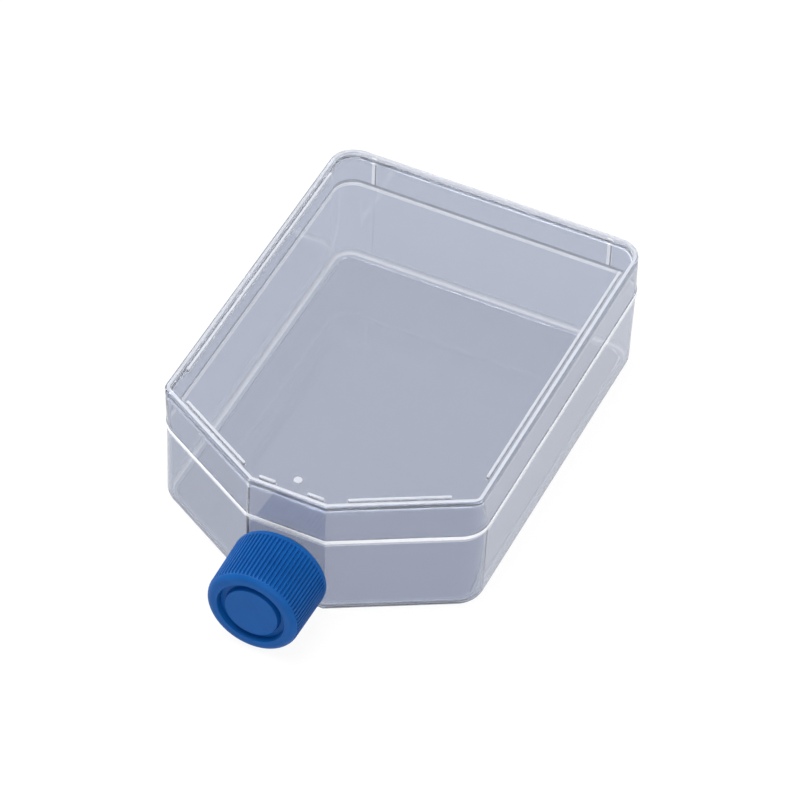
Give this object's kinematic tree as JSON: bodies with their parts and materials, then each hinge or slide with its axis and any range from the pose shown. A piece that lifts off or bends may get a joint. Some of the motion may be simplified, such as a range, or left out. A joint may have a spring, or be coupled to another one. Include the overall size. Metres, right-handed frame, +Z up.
{
  "type": "cell culture flask",
  "caption": "Flat clear flask with tapered shoulders, a stacking rim and a short threaded neck closed by a ribbed screw cap.",
  "frame": {"origin": "on the resting plane, below the middle of the closed flask's overall length and width", "axes": "+Z up, -Y along the neck towards the cap, X across the flask"},
  "size_m": [0.082, 0.1316, 0.0348],
  "materials": {
    "clear_plastic": "clear, slightly grey, polished mould finish",
    "cap_plastic": "satin blue moulding"
  },
  "bodies": {
    "flask": {"lower_shell": "clear_plastic", "upper_shell": "clear_plastic"},
    "cap": {"screw_cap": "cap_plastic"}
  },
  "joints": [
    {"name": "cap_removal", "type": "slide", "parent": "flask", "child": "cap", "axis": [0, -1, 0], "range_m": [0, 0.02]}
  ]
}
